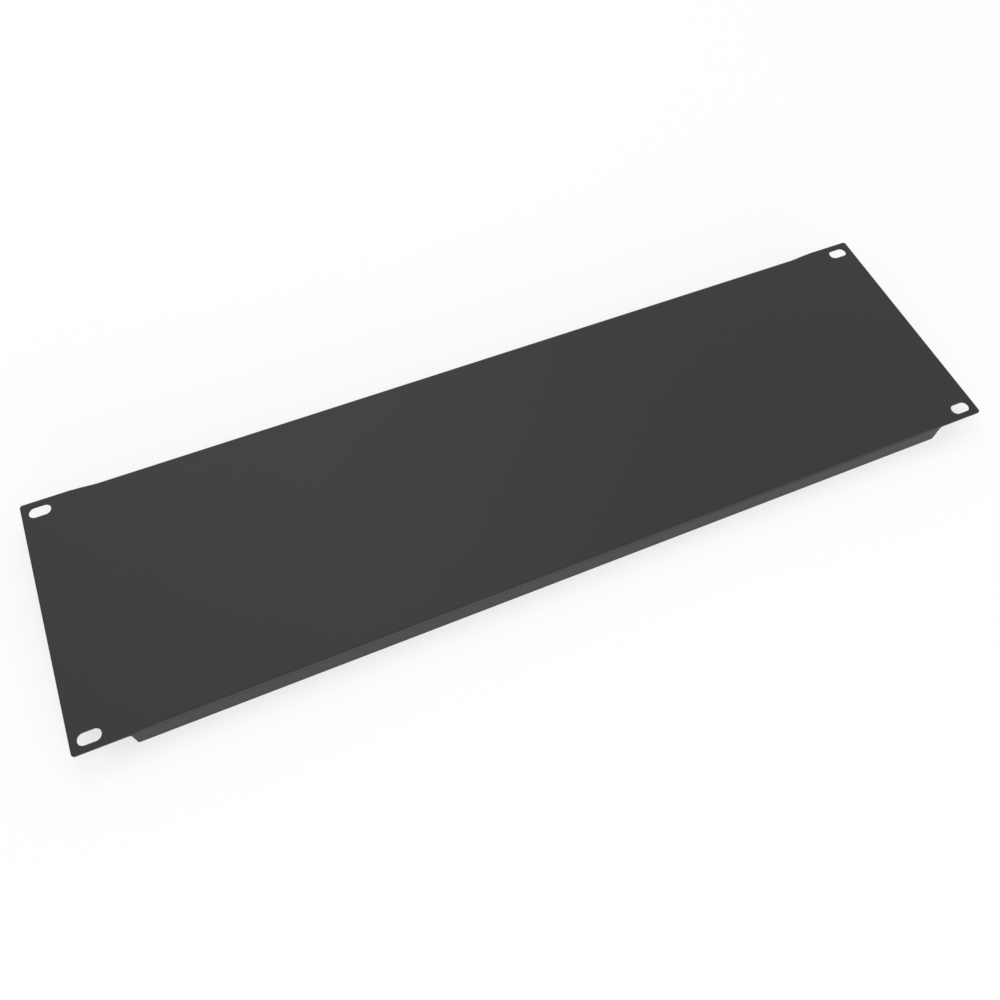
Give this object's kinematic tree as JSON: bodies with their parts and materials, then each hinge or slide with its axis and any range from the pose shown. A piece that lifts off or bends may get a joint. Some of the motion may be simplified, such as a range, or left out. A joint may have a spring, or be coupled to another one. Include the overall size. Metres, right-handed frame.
{
  "type": "rack blanking panel",
  "caption": "Flat steel panel that covers an unused bay of an equipment rack, with a slot near each corner and long edges folded back as stiffening flanges.",
  "frame": {"origin": "middle of the panel, on the surface that the flanges' free edges lie on", "axes": "+X across the rack, +Y up the rack, +Z out of the front face"},
  "size_m": [0.4826, 0.133, 0.0125],
  "materials": {
    "powder_coat": "satin near-black powder coat with a very fine texture"
  },
  "bodies": {
    "root": {"folded_panel": "powder_coat"}
  },
  "joints": []
}
